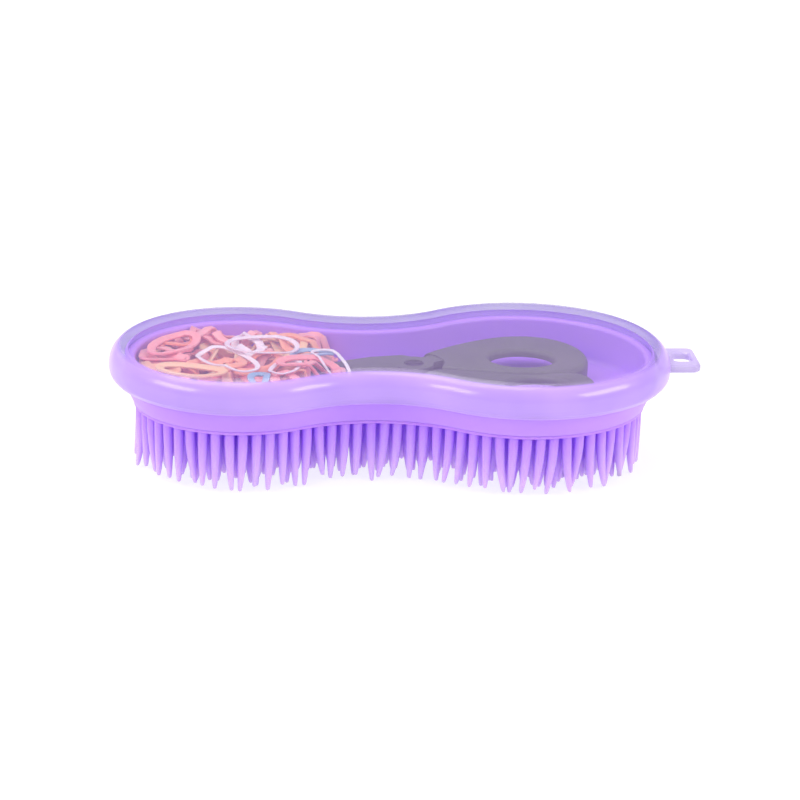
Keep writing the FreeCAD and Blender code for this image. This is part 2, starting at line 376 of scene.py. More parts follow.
def close_geometry_tree(nodes, geometry, material):
    real = nodes.make("GeometryNodeRealizeInstances", None, {"Geometry": geometry})
    done = nodes.make("GeometryNodeSetMaterial", None, {"Geometry": real, "Material": material})
    out = nodes.tree.nodes.new("NodeGroupOutput")
    nodes.tree.links.new(done.socket, out.inputs["Geometry"])


def run_tree(source, nodes, sockets, values, name):
    """Run the tree on an object, and return its result as a plain mesh object."""
    modifier = source.modifiers.new("build", "NODES")
    modifier.node_group = nodes.tree
    for label, value in values.items():
        modifier[sockets[label]] = value
    depsgraph = bpy.context.evaluated_depsgraph_get()
    mesh = bpy.data.meshes.new_from_object(source.evaluated_get(depsgraph))
    mesh.name = name
    bpy.data.objects.remove(source)
    return mesh_object(name, mesh)


def ring_tree():
    inputs = {"Section": "NodeSocketObject", "Material": "NodeSocketMaterial"}
    nodes, given, sockets = new_geometry_tree("moulded_ring", inputs)
    upright = nodes.make("GeometryNodeSetCurveNormal", {"mode": "Z_UP"},
                         {"Curve": given["Geometry"]})
    section = nodes.make("GeometryNodeObjectInfo", None, {"Object": given["Section"]},
                         output="Geometry")
    swept = nodes.make("GeometryNodeCurveToMesh", None,
                       {"Curve": upright, "Profile Curve": section})
    close_geometry_tree(nodes, swept, given["Material"])
    return nodes, sockets


RING = ring_tree()


def arc(centre, radius, start, stop, steps=8):
    """Points of a section's rounded corner, angles in degrees, 0 towards the outside."""
    found = []
    for i in range(steps + 1):
        t = math.radians(start + (stop - start) * i / steps)
        found.append((centre[0] - radius * math.cos(t), centre[1] + radius * math.sin(t)))
    return found


def ring(name, section, material, closed=False):
    """Sweep a section of (inset, height) pairs, in mm, round the outline."""
    profile = [(-inset * MM, -height * MM, 0.0) for inset, height in section]
    profile = curve_object("section", profile, closed)
    path = curve_object("path", [(x, y, 0.0) for x, y in outline_points(0)], True)
    nodes, sockets = RING
    made = run_tree(path, nodes, sockets, {"Section": profile, "Material": material}, name)
    bpy.data.objects.remove(profile)
    return made


def cap_holes(item):
    """Close a swept ring's open ends with flat faces."""
    work = bmesh.new()
    work.from_mesh(item.data)
    bmesh.ops.holes_fill(work, edges=[e for e in work.edges if e.is_boundary], sides=0)
    bmesh.ops.recalc_face_normals(work, faces=work.faces)
    work.to_mesh(item.data)
    work.free()


def smooth_by_angle(item, degrees):
    """Smooth shading, with creases kept where faces meet more sharply than the angle."""
    mesh = item.data
    mesh.polygons.foreach_set("use_smooth", [True] * len(mesh.polygons))
    work = bmesh.new()
    work.from_mesh(mesh)
    for edge in work.edges:
        sharp = len(edge.link_faces) != 2 or edge.calc_face_angle(0) > math.radians(degrees)
        edge.smooth = not sharp
    work.to_mesh(mesh)
    work.free()


# %% [markdown]
# ## Finishes
# The tray is semi-gloss purple plastic, and the pad is softer silicone of the same dye. Neither is
# one flat colour: a slow noise shifts the dye and the gloss a little, and a fine noise through Bump
# gives the moulded grain. Silicone lets light in, so its thin tips look paler than its roots, and
# a ramp over the height does that.

# %% Purple plastic and silicone


def purple_plastic():
    material, nodes = new_material("tray_plastic")
    place = nodes.make("ShaderNodeTexCoord", output="Object")
    cloud = nodes.make("ShaderNodeTexNoise", None,
                       {"Vector": place, "Scale": 28.0, "Detail": 3.0}, "Fac")
    grain = nodes.make("ShaderNodeTexNoise", None,
                       {"Vector": place, "Scale": 1400.0, "Detail": 2.0}, "Fac")
    colour = nodes.make("ShaderNodeValToRGB", {"stops": [
        (0.3, linear(184, 132, 250)), (0.7, linear(194, 144, 253))]}, {"Fac": cloud})
    bump = nodes.make("ShaderNodeBump", None, {"Strength": 0.12, "Distance": 0.0002,
                                               "Height": grain})
    surface = nodes.make("ShaderNodeBsdfPrincipled", None, {
        "Base Color": colour, "Roughness": 0.30 + cloud * 0.12, "Normal": bump,
        "Subsurface Weight": 0.25, "Subsurface Radius": (0.004, 0.003, 0.006),
        "Subsurface Scale": 1.0})
    finish_material(nodes, surface)
    return material


def silicone():
    material, nodes = new_material("bristle_silicone")
    place = nodes.make("ShaderNodeTexCoord", output="Object")
    cloud = nodes.make("ShaderNodeTexNoise", None,
                       {"Vector": place, "Scale": 60.0, "Detail": 2.0}, "Fac")
    height = nodes.make("ShaderNodeSeparateXYZ", None, {"Vector": place}, 2)
    along = nodes.make("ShaderNodeMapRange", None, {
        "Value": height, "From Min": 0.0, "From Max": 19 * MM, "To Min": 0.0, "To Max": 1.0})
    mixed = along * 0.75 + cloud * 0.25
    colour = nodes.make("ShaderNodeValToRGB", {"stops": [
        (0.0, linear(196, 182, 222)), (0.3, linear(210, 178, 247)),
        (1.0, linear(176, 118, 250))]}, {"Fac": mixed})
    # Painted light: a faint purple emission brightens the bristles and their shaded roots, though
    # silicone gives no light.
    surface = nodes.make("ShaderNodeBsdfPrincipled", None, {
        "Base Color": colour, "Roughness": 0.34 + cloud * 0.15,
        "Subsurface Weight": 0.6, "Subsurface Radius": (0.003, 0.002, 0.005),
        "Subsurface Scale": 1.0, "Emission Color": linear(140, 50, 250),
        "Emission Strength": 0.06})
    finish_material(nodes, surface)
    return material


# %% [markdown]
# The lid is clear on top, so that it is a window, and milky round its side, where the light runs
# through more plastic. We mix a plain Transparent with a purple milky plastic, and let the share of
# it grow below the top edge. The lid itself is colourless: the purple of its milk is painted, and
# stands for the purple rim seen through the clear edge. A gloss that grows towards grazing angles
# lies over both. Light falls straight through into the box. The inside wall stands close to the
# purple rim, so its milk is painted deeper in the rim's colour, as a thick clear edge would show it.

# %% Clear plastic


def clear_plastic(name, clear_z, milky_z, haze, milk_colour, gloss_share):
    """Plastic that is clear at one height and milky at another, both in mm."""
    material, nodes = new_material(name)
    place = nodes.make("ShaderNodeTexCoord", output="Object")
    cloud = nodes.make("ShaderNodeTexNoise", None,
                       {"Vector": place, "Scale": 40.0, "Detail": 2.0}, "Fac")
    height = nodes.make("ShaderNodeSeparateXYZ", None, {"Vector": place}, 2)
    share = nodes.make("ShaderNodeMapRange", {"interpolation_type": "SMOOTHSTEP"}, {
        "Value": height, "From Min": clear_z * MM, "From Max": milky_z * MM,
        "To Min": 0.04, "To Max": haze})
    side = nodes.make("ShaderNodeMapRange", None, {
        "Value": height, "From Min": 38.9 * MM, "From Max": 37.8 * MM, "To Min": 0.0, "To Max": 1.0})
    facing = nodes.make("ShaderNodeLayerWeight", None, {"Blend": 0.5}, "Facing")
    thick = share * (0.85 + cloud * 0.3) + side * haze * facing ** 4.0
    # For the lid and the lining this milk colour is painted: the purple rim seen through colourless
    # plastic.
    pale = tuple(min(1.0, c * 1.12) for c in linear(*milk_colour)[:3])
    milk_tint = nodes.make("ShaderNodeValToRGB", {"stops": [
        (0.3, linear(*milk_colour)), (0.7, pale)]}, {"Fac": cloud})
    colour = nodes.make("ShaderNodeMix", {"data_type": "RGBA"}, {
        0: side, 6: linear(232, 230, 236), 7: milk_tint}, 2)
    milk = nodes.make("ShaderNodeBsdfPrincipled", None, {
        "Base Color": colour, "Roughness": 0.35, "Specular IOR Level": 0.2})
    through = nodes.make("ShaderNodeBsdfTransparent", None, {"Color": (0.995, 0.993, 1, 1)})
    body = nodes.make("ShaderNodeMixShader", None, {0: thick, 1: through, 2: milk})
    gloss = nodes.make("ShaderNodeBsdfPrincipled", None, {
        "Base Color": (1, 1, 1, 1), "Metallic": 1.0, "Roughness": 0.18})
    edge = (0.04 + 0.25 * facing ** 5.0) * gloss_share
    surface = nodes.make("ShaderNodeMixShader", None, {0: edge, 1: body, 2: gloss})
    finish_material(nodes, surface)
    return material


TRAY_PLASTIC = purple_plastic()
SILICONE = silicone()
# The purple milk of the lid and the lining is painted, the purple rim seen through the clear
# plastic; the tab's milk is a greyer lilac.
LID_CLEAR = clear_plastic("lid_clear", 38.65, 37.0, 0.7, (198, 163, 248), 1.0)
TAB_CLEAR = clear_plastic("tab_clear", 38.2, 36.2, 0.7, (200, 182, 230), 0.8)
LID_LINING = clear_plastic("lid_lining", 36.79, 36.3, 0.8, (190, 146, 250), 0.1)
print("finishes ready")

# %% [markdown]
# ## The lid
# One clear moulding. Its section is a fat round bead, a straight inner wall that slips over the
# tray's rim, and a flat top that meets the bead's crest. We sweep its outside and its inside as two
# skins and close each with one flat face. Clear plastic shows both, and this way each skin carries
# its own finish.

# %% Lid: the two skins
SHOULDER_Z, RIM_TOP, LID_TOP, CEILING = 27.0, 34.6, 39.0, 36.8
MOUTH_INSET, FLAT_INSET = 4.85, 9.8
LIP_R, BULGE_R, CREST_R, CORNER_R = 3.6, 3.9, 6.8, 2.0
LIP_ANGLE = -28


def make_lid():
    """The lid's outside, closed over the top, and its inside, closed under the ceiling."""
    outside = arc((BULGE_R, SHOULDER_Z + LIP_R), LIP_R, -90, LIP_ANGLE, 6)
    outside += arc((BULGE_R, SHOULDER_Z + BULGE_R), BULGE_R, LIP_ANGLE, 0, 4)
    outside += arc((CREST_R, LID_TOP - CREST_R), CREST_R, 0, 90, 16)
    outside += [(FLAT_INSET, LID_TOP)]
    shell = ring("lid_shell", outside[::-1], LID_CLEAR)
    inside = [(BULGE_R, SHOULDER_Z), (MOUTH_INSET, SHOULDER_Z)]
    inside += arc((MOUTH_INSET + CORNER_R, CEILING - CORNER_R), CORNER_R, 0, 90, 8)
    inside += [(FLAT_INSET, CEILING)]
    lining = ring("lid_lining", inside, LID_LINING)
    cap_level(shell, LID_TOP, 1)
    cap_level(lining, CEILING, -1)
    return shell, lining


def cap_level(item, z, up):
    """Close the opening at one height with a flat face that looks up or down."""
    work = bmesh.new()
    work.from_mesh(item.data)
    rim = [e for e in work.edges
           if e.is_boundary and all(abs(v.co.z - z * MM) < 0.01 * MM for v in e.verts)]
    made = bmesh.ops.contextual_create(work, geom=rim)["faces"]
    for face in made:
        face.normal_update()
        if face.normal.z * up < 0:
            face.normal_flip()
    bmesh.ops.triangulate(work, faces=made)
    work.to_mesh(item.data)
    work.free()


# %% [markdown]
# The lid's tab is a flat loop at the large end, to hang the brush by. It could be a block with a
# hole cut in it, but a cut leaves long thin faces. Instead the rim and the hole are two rings with
# the same number of points, so their faces join point to point. Four levels of them, with the
# outer two drawn in a little, give the softened edges.

# %% Lid: the hanging tab
TAB_REACH, TAB_WIDTH, TAB_THICK, TAB_Z = 9.0, 17.0, 2.6, 32.0
TAB_ROOT, TAB_CORNER_R, TAB_SOFT = 4.0, 2.2, 0.6
HOLE_REACH, HOLE_WIDTH, HOLE_LIP, HOLE_CORNER_R = 5.6, 8.4, 2.1, 1.6


def rounded_rectangle(x1, x2, half, radius):
    corners = []
    for cx, cy, start in ((x2 - radius, half - radius, 0), (x1 + radius, half - radius, 90),
                          (x1 + radius, radius - half, 180), (x2 - radius, radius - half, 270)):
        for i in range(7):
            t = math.radians(start + 15 * i)
            corners.append((cx + radius * math.cos(t), cy + radius * math.sin(t)))
    return corners


def tab_level(work, corners, grow_by, z):
    """One ring of the tab's points, moved away from the ring's middle by grow_by."""
    cx = sum(x for x, _ in corners) / len(corners)
    level = []
    for x, y in corners:
        grow = 1 + grow_by / math.hypot(x - cx, y)
        place = ((cx + (x - cx) * grow) * MM + MIDDLE, y * grow * MM, z * MM)
        level.append(work.verts.new(place))
    return level


def join_rings(work, first, second):
    for i in range(len(first)):
        j = (i + 1) % len(first)
        work.faces.new((first[i], first[j], second[j], second[i]))


def make_tab():
    end, half = LENGTH / MM / 2, TAB_THICK / 2
    rim = rounded_rectangle(end - TAB_ROOT, end + TAB_REACH, TAB_WIDTH / 2, TAB_CORNER_R)
    middle = end + TAB_REACH - HOLE_LIP - HOLE_REACH / 2
    hole = rounded_rectangle(middle - HOLE_REACH / 2, middle + HOLE_REACH / 2, HOLE_WIDTH / 2,
                             HOLE_CORNER_R)
    work = bmesh.new()
    rims, holes = [], []
    for inset, z in ((TAB_SOFT, TAB_Z - half), (0.0, TAB_Z - half + TAB_SOFT),
                     (0.0, TAB_Z + half - TAB_SOFT), (TAB_SOFT, TAB_Z + half)):
        rims.append(tab_level(work, rim, -inset, z))
        holes.append(tab_level(work, hole, inset, z))
    for levels in (rims, holes):
        for low, high in zip(levels, levels[1:]):
            join_rings(work, low, high)
    for outer, inner in ((rims[0], holes[0]), (rims[-1], holes[-1])):
        join_rings(work, outer, inner)
    bmesh.ops.recalc_face_normals(work, faces=work.faces)
    mesh = bpy.data.meshes.new("hanging_tab")
    work.to_mesh(mesh)
    work.free()
    mesh.materials.append(TAB_CLEAR)
    return mesh_object("hanging_tab", mesh)


# %% Lid: put together
shell, lining = make_lid()
tab = make_tab()
for piece in (shell, lining, tab):
    smooth_by_angle(piece, 40)
    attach(piece, "lid")
    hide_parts("lid")
    normals = [p.normal.z * p.area for p in piece.data.polygons]
    print(piece.name, len(normals), "faces, net upward area, cm2:", round(sum(normals) * 1e4, 1))

# %% [markdown]
# ## The tray
# The tray is one purple moulding: a floor, a wall with a rounded rim, and a skirt that tapers down
# to the pad. Its section is one walk from under the floor, up the outside, over the rim and down to
# the floor again. The ring tree sweeps it, and two flat faces close the floor, above and below.

# %% Tray
TRAY_BOTTOM, TRAY_TOP_Z = 20.3, 22.3
WALL_OUTSIDE, WALL_INSIDE, RIM_R, FLOOR_FILLET = 5.2, 8.2, 1.2, 2.4
SKIRT = [(7.3, 20.3), (6.2, 22.8), (5.2, 25.3), (4.5, 26.9), (4.6, 27.0), (5.2, 27.0)]


def make_tray():
    section = [(10.4, TRAY_BOTTOM + 1.0), (10.4, TRAY_BOTTOM)] + SKIRT
    section += arc((WALL_OUTSIDE + RIM_R, RIM_TOP - RIM_R), RIM_R, 0, 90, 5)
    section += arc((WALL_INSIDE - RIM_R, RIM_TOP - RIM_R), RIM_R, 90, 180, 5)
    section += arc((WALL_INSIDE + FLOOR_FILLET, TRAY_TOP_Z + FLOOR_FILLET), FLOOR_FILLET, 0, -90, 6)
    tray = ring("tray", section[::-1], TRAY_PLASTIC)
    cap_holes(tray)
    smooth_by_angle(tray, 40)
    return tray


tray = make_tray()
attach(tray, "base")
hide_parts("storage_tray")
print("tray", len(tray.data.polygons), "faces")

# %% [markdown]
# ## The pad
# The pad is silicone, a plate and its bristles in one moulding. The plate shows only as a thin soft
# edge under the skirt, so it is one more swept section, with its lower face closed flat.

# %% Pad's plate
PLATE_TOP, PLATE_LOW, PLATE_INSET, PLATE_R = 20.3, 19.1, 7.5, 0.4


def make_pad():
    section = [(10.5, PLATE_TOP + 0.9), (10.5, PLATE_TOP)]
    section += arc((PLATE_INSET + PLATE_R, PLATE_TOP - PLATE_R), PLATE_R, 90, 0, 3)
    section += arc((PLATE_INSET + PLATE_R, PLATE_LOW + PLATE_R), PLATE_R, 0, -90, 3)
    pad = ring("pad_plate", section, SILICONE)
    cap_holes(pad)
    smooth_by_angle(pad, 40)
    return pad


pad = make_pad()
print("plate", len(pad.data.polygons), "faces")

# %% [markdown]
# ## The bristles
# More than 500 soft bristles stand on the plate: one row that follows its edge, and a triangular
# field inside. That is work for Geometry Nodes. One bristle is a line swept with a small circle
# whose scale tapers and ends in a dome, and Instance on Points sets it on every place. Each copy
# gets its own length and keeps a random lean. Once the copies are real, every point moves by that
# lean times its distance down squared, so roots stay put and tips wander, as worn bristles do.

# %% Places of the bristles
PITCH = 4.1 * MM
ROOT_R, TIP_R = 1.6 * MM, 0.6 * MM
EDGE_ROW_INSET, FIELD_INSET = 9.7 * MM, 13.3 * MM
PAD_BOTTOM = PLATE_LOW * MM


def inside_outline(x, y, inset):
    ring_points = outline_points(inset, 3 * MM)
    within = False
    for (x1, y1), (x2, y2) in zip(ring_points, ring_points[1:] + ring_points[:1]):
        if (y1 > y) != (y2 > y) and x < x1 + (y - y1) * (x2 - x1) / (y2 - y1):
            within = not within
    return within


def bristle_places():
    edge = outline_points(EDGE_ROW_INSET, 0.2 * MM)
    steps = [math.dist(a, b) for a, b in zip(edge, edge[1:] + edge[:1])]
    count = round(sum(steps) / PITCH)
    gap = sum(steps) / count
    places, walked = [], 0.0
    for point, step in zip(edge, steps):
        if walked >= len(places) * gap and len(places) < count:
            places.append(point)
        walked += step
    row_gap = PITCH * math.sqrt(3) / 2
    for row in range(-10, 11):
        offset = PITCH / 2 if row % 2 else 0.0
        for column in range(-22, 23):
            x, y = MIDDLE + column * PITCH + offset, row * row_gap
            if inside_outline(x, y, FIELD_INSET):
                places.append((x, y))
    return places


# %% Geometry Nodes: the bristle field
TIP_LEAN, SHORTEST, SIDES, RINGS = 2.1 * MM, 0.9, 8, 9


def bristle_tree():
    inputs = {"Root radius": "NodeSocketFloat", "Tip share": "NodeSocketFloat",
              "Length": "NodeSocketFloat", "Lean": "NodeSocketFloat",
              "Seed": "NodeSocketInt", "Material": "NodeSocketMaterial"}
    nodes, given, sockets = new_geometry_tree("bristle_field", inputs)
    end = nodes.make("ShaderNodeCombineXYZ", None, {"Z": 0.0 - given["Length"]})
    line = nodes.make("GeometryNodeCurvePrimitiveLine", None, {"End": end})
    line = nodes.make("GeometryNodeResampleCurve", None, {"Curve": line, "Count": RINGS})
    t = nodes.make("GeometryNodeSplineParameter", output="Factor")
    crowded = 1.0 - (1.0 - t) * (1.0 - t)
    down = nodes.make("ShaderNodeCombineXYZ", None, {"Z": 0.0 - given["Length"] * crowded})
    line = nodes.make("GeometryNodeSetPosition", None, {"Geometry": line, "Position": down})
    taper = 1.0 - t ** 2.2 * (1.0 - given["Tip share"])
    tip_radius = given["Root radius"] * given["Tip share"]
    into_dome = 1.0 - (1.0 - t) * given["Length"] / tip_radius
    into_dome = into_dome.maths("MAXIMUM", into_dome, 0.0)
    rounding = (1.0 - into_dome * into_dome) ** 0.5
    circle = nodes.make("GeometryNodeCurvePrimitiveCircle", None,
                        {"Resolution": SIDES, "Radius": given["Root radius"]})
    shape = nodes.make("GeometryNodeCurveToMesh", None, {
        "Curve": line, "Profile Curve": circle, "Scale": taper * (0.2 + 0.8 * rounding),
        "Fill Caps": True})
    size = nodes.make("FunctionNodeRandomValue", {"data_type": "FLOAT"}, {
        "Min": SHORTEST, "Max": 1.0, "Seed": given["Seed"]}, output=1)
    scale = nodes.make("ShaderNodeCombineXYZ", None, {"X": 1.0, "Y": 1.0, "Z": size})
    placed = nodes.make("GeometryNodeInstanceOnPoints", None, {
        "Points": given["Geometry"], "Instance": shape, "Scale": scale})
    lean = nodes.make("FunctionNodeRandomValue", {"data_type": "FLOAT_VECTOR"}, {
        "Min": (-1, -1, 0), "Max": (1, 1, 0), "Seed": given["Seed"]}, output=0)
    lean = nodes.make("ShaderNodeVectorMath", {"operation": "SCALE"}, {
        0: lean, "Scale": given["Lean"]})
    placed = nodes.make("GeometryNodeStoreNamedAttribute",
                        {"data_type": "FLOAT_VECTOR", "domain": "INSTANCE"},
                        {"Geometry": placed, "Name": "lean", "Value": lean})
    real = nodes.make("GeometryNodeRealizeInstances", None, {"Geometry": placed})
    kept = nodes.make("GeometryNodeInputNamedAttribute", {"data_type": "FLOAT_VECTOR"},
                      {"Name": "lean"})
    position = nodes.make("GeometryNodeInputPosition")
    z = nodes.make("ShaderNodeSeparateXYZ", None, {"Vector": position}, 2)
    down = (PAD_BOTTOM - z) / given["Length"]
    bend = nodes.make("ShaderNodeVectorMath", {"operation": "SCALE"}, {
        0: kept, "Scale": down * down})
    bent = nodes.make("GeometryNodeSetPosition", None, {"Geometry": real, "Offset": bend})
    close_geometry_tree(nodes, bent, given["Material"])
    return nodes, sockets


def make_bristles():
    places = bristle_places()
    mesh = bpy.data.meshes.new("places")
    mesh.from_pydata([(x, y, PAD_BOTTOM) for x, y in places], [], [])
    source = mesh_object("places", mesh)
    nodes, sockets = bristle_tree()
    values = {"Root radius": ROOT_R, "Tip share": TIP_R / ROOT_R, "Length": PAD_BOTTOM,
              "Lean": TIP_LEAN, "Seed": 7, "Material": SILICONE}
    bristles = run_tree(source, nodes, sockets, values, "bristles")
    print(len(places), "bristles,", len(bristles.data.polygons), "faces")
    return bristles


bristles = make_bristles()
for piece in (pad, bristles):
    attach(piece, "base")
    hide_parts("bristle_pad")

# %% [markdown]
# ## The scissors
# Small scissors with thick grey plastic handles lie in the tray. Their shapes come straight from
# the fixed model. We copy each piece, merge the corners that its faces share, and smooth it, so the
# rounded edges catch the light as moulded plastic does. The grey is painted a little olive, to
# cancel the purple light that the box round it throws on it. The steel's noise is stretched along X,
# which gives the fine lines of a brushed blade.

# %% Plastic and steel of the scissors


def grey_plastic():
    material, nodes = new_material("handle_plastic")
    place = nodes.make("ShaderNodeTexCoord", output="Object")
    cloud = nodes.make("ShaderNodeTexNoise", None,
                       {"Vector": place, "Scale": 90.0, "Detail": 3.0}, "Fac")
    grain = nodes.make("ShaderNodeTexNoise", None,
                       {"Vector": place, "Scale": 2500.0, "Detail": 2.0}, "Fac")
    # Painted tint: the olive lean cancels the purple light thrown by the box; the plastic itself is
    # plain grey.
    colour = nodes.make("ShaderNodeValToRGB", {"stops": [
        (0.3, linear(81, 87, 73)), (0.7, linear(92, 98, 83))]}, {"Fac": cloud})
    bump = nodes.make("ShaderNodeBump", None, {"Strength": 0.3, "Distance": 0.0002,
                                               "Height": grain})
    surface = nodes.make("ShaderNodeBsdfPrincipled", None, {
        "Base Color": colour, "Roughness": 0.42 + cloud * 0.12, "Normal": bump})
    finish_material(nodes, surface)
    return material


def brushed_steel(name, shade, roughness):
    material, nodes = new_material(name)
    place = nodes.make("ShaderNodeTexCoord", output="Object")
    stretched = nodes.make("ShaderNodeMapping", None, {
        "Vector": place, "Scale": (60.0, 2600.0, 2600.0)})
    lines = nodes.make("ShaderNodeTexNoise", None,
                       {"Vector": stretched, "Scale": 1.0, "Detail": 3.0}, "Fac")
    colour = nodes.make("ShaderNodeValToRGB", {"stops": [
        (0.3, linear(shade - 12, shade - 12, shade - 12)),
        (0.7, linear(shade + 8, shade + 8, shade + 8))]}, {"Fac": lines})
    bump = nodes.make("ShaderNodeBump", None, {"Strength": 0.25, "Distance": 0.0001,
                                               "Height": lines})
    surface = nodes.make("ShaderNodeBsdfPrincipled", None, {
        "Base Color": colour, "Metallic": 0.85, "Roughness": roughness + lines * 0.1,
        "Normal": bump})
    finish_material(nodes, surface)
    return material


HANDLE_PLASTIC = grey_plastic()
BLADE_STEEL = brushed_steel("blade_steel", 150, 0.3)
SCREW_STEEL = brushed_steel("screw_steel", 72, 0.4)
SCISSORS = (("scissors_rear_handle", HANDLE_PLASTIC, "scissors_rear", "handle_plastic"),
            ("scissors_upper_blade", BLADE_STEEL, "scissors_rear", "blade_steel"),
            ("scissors_pivot_screw", SCREW_STEEL, "scissors_rear", "screw_steel"),
            ("scissors_front_handle", HANDLE_PLASTIC, "scissors_front", "handle_plastic"),
            ("scissors_lower_blade", BLADE_STEEL, "scissors_front", "blade_steel"))


# %% Scissors: smoothed copies
MERGE_WITHIN = 0.002 * MM


def smooth_copy(node, material):
    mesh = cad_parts[node].data.copy()
    mesh.name = node + "_look"
    work = bmesh.new()
    work.from_mesh(mesh)
    bmesh.ops.remove_doubles(work, verts=work.verts, dist=MERGE_WITHIN)
    work.to_mesh(mesh)
    work.free()
    if "custom_normal" in mesh.attributes:
        mesh.attributes.remove(mesh.attributes["custom_normal"])
    mesh.materials.clear()
    mesh.materials.append(material)
    copy = mesh_object(node + "_look", mesh)
    smooth_by_angle(copy, 35)
    return copy


for node, material, body, slot_name in SCISSORS:
    piece = smooth_copy(node, material)
    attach(piece, body)
    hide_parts(node)
    print(node, len(piece.data.polygons), "faces")

# %% [markdown]
# ## The heap of elastics
# The elastics are soft loops that were dropped in by the handful. A full simulation of some 90 soft
# loops is slow and seldom settles, so we drop them one at a time onto a map of heights. A loop's
# every point rests on what is under it, the loop is then pulled taut over the bumps, and its own
# thickness is added to the map. The blades are in the map too, so loops bend over them. All the
# loops stay with the tray when the scissors are lifted out.

# %% Heap: sizes and walls, in mm
TRAY_FLOOR = 22.35
CELL = 0.5
HEAP_LOW, HEAP_HIGH = (-86.0, -32.0), (-14.0, 32.0)
BAND_HALF_WIDTH, BAND_HALF_THICK = 1.4, 0.45
SQUEEZE = 0.6               # how much of its thickness a soft loop keeps in the heap
LOOP_POINTS = 60
HEAP_WALL = np.array(outline_points(10.4 * MM, 0.8 * MM)) / MM


def inside_wall(points):
    """Which points lie inside the tray's wall, by crossings."""
    x, y = points[:, 0:1], points[:, 1:2]
    a, b = HEAP_WALL, np.roll(HEAP_WALL, -1, axis=0)
    crosses = (a[:, 1] > y) != (b[:, 1] > y)
    rise = np.where(b[:, 1] == a[:, 1], 1e-9, b[:, 1] - a[:, 1])
    at = a[:, 0] + (y - a[:, 1]) * (b[:, 0] - a[:, 0]) / rise
    return (np.sum(crosses & (x < at), axis=1) % 2) == 1


def keep_inside(points):
    """Move points beyond the tray's wall back to it."""
    out = ~inside_wall(points)
    if out.any():
        gaps = ((points[out][:, None, :] - HEAP_WALL[None]) ** 2).sum(2)
        points[out] = HEAP_WALL[gaps.argmin(1)]
    return points


def blade_heights(xs, ys):
    """Height of the scissors' top over each cell of the map."""
    heights = np.full((len(xs), len(ys)), TRAY_FLOOR)
    for node in [row[0] for row in SCISSORS]:
        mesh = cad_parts[node].data
        tree = BVHTree.FromPolygons([v.co for v in mesh.vertices],
                                    [p.vertices[:] for p in mesh.polygons])
        for i, x in enumerate(xs):
            for j, y in enumerate(ys):
                hit = tree.ray_cast(Vector((x * MM, y * MM, 0.1)), Vector((0, 0, -1)))[0]
                if hit is not None:
                    heights[i, j] = max(heights[i, j], hit.z / MM + 0.15)
    return heights


# %% Heap: the map of heights


class Heap:
    """Height map of the tray, and the loops dropped so far."""

    def __init__(self):
        self.xs = np.arange(HEAP_LOW[0], HEAP_HIGH[0], CELL)
        self.ys = np.arange(HEAP_LOW[1], HEAP_HIGH[1], CELL)
        self.top = blade_heights(self.xs, self.ys)
        self.loops = []

    def window(self, x, y, reach):
        i1 = max(0, int((x - reach - HEAP_LOW[0]) / CELL))
        i2 = min(len(self.xs), int((x + reach - HEAP_LOW[0]) / CELL) + 2)
        j1 = max(0, int((y - reach - HEAP_LOW[1]) / CELL))
        j2 = min(len(self.ys), int((y + reach - HEAP_LOW[1]) / CELL) + 2)
        return slice(i1, i2), slice(j1, j2)

    def drop(self, path, twist, slack, colour, tone, scale=1.0):
        half_w, half_t = BAND_HALF_WIDTH * scale, BAND_HALF_THICK * scale
        tall = half_w * np.abs(np.sin(twist)) + half_t * np.abs(np.cos(twist))
        wide = half_w * np.abs(np.cos(twist)) + half_t * np.abs(np.sin(twist))
        rest = np.zeros(len(path))
        for k, (x, y) in enumerate(path):
            cells = self.window(x, y, wide[k] * 0.6)
            rest[k] = self.top[cells].max() + tall[k] * SQUEEZE
        z = rest.copy()
        for _ in range(slack):
            z = np.maximum(rest, (np.roll(z, 1) + np.roll(z, -1)) / 2)
        return {"path": path, "z": z, "twist": twist, "tall": tall, "wide": wide,
                "colour": colour, "tone": tone, "scale": scale}

    def keep(self, loop):
        for (x, y), z, tall, wide in zip(loop["path"], loop["z"], loop["tall"], loop["wide"]):
            cells = self.window(x, y, wide * 0.6)
            self.top[cells] = np.maximum(self.top[cells], z + tall * SQUEEZE)
        self.loops.append(loop)


# %% Heap: one loop's line
LOOP_SQUARENESS = 0.82


def loop_path(centre, length, width, angle, wobble, dice):
    """A bent closed line seen from above, kept inside the tray's wall."""
    t = np.linspace(0, 2 * np.pi, LOOP_POINTS, endpoint=False)
    x = np.sign(np.cos(t)) * np.abs(np.cos(t)) ** LOOP_SQUARENESS * length / 2
    y = np.sign(np.sin(t)) * np.abs(np.sin(t)) ** LOOP_SQUARENESS * width / 2
    pinch = 1 - wobble * dice.uniform(0.2, 0.9) * np.cos(t) ** 2 * np.abs(np.sin(t))
    x = x + wobble * dice.uniform(-1, 1) * 3 * np.sin(2 * t + dice.uniform(0, 6))
    y = y * pinch + wobble * dice.uniform(-1, 1) * 2.4 * np.cos(2 * t + dice.uniform(0, 6))
    c, s = math.cos(math.radians(angle)), math.sin(math.radians(angle))
    path = np.stack([centre[0] + c * x - s * y, centre[1] + s * x + c * y], 1)
    path = keep_inside(path)
    for _ in range(2):
        path = (np.roll(path, 1, 0) + path * 2 + np.roll(path, -1, 0)) / 4
    return path


# %% [markdown]
# Where does the next loop go? We try a dozen places and take the one with most room under the heap's
# intended top, which falls off towards the blades. A loop that would reach the lid is a miss, and
# many misses end the filling. A fixed seed makes the heap the same each run.

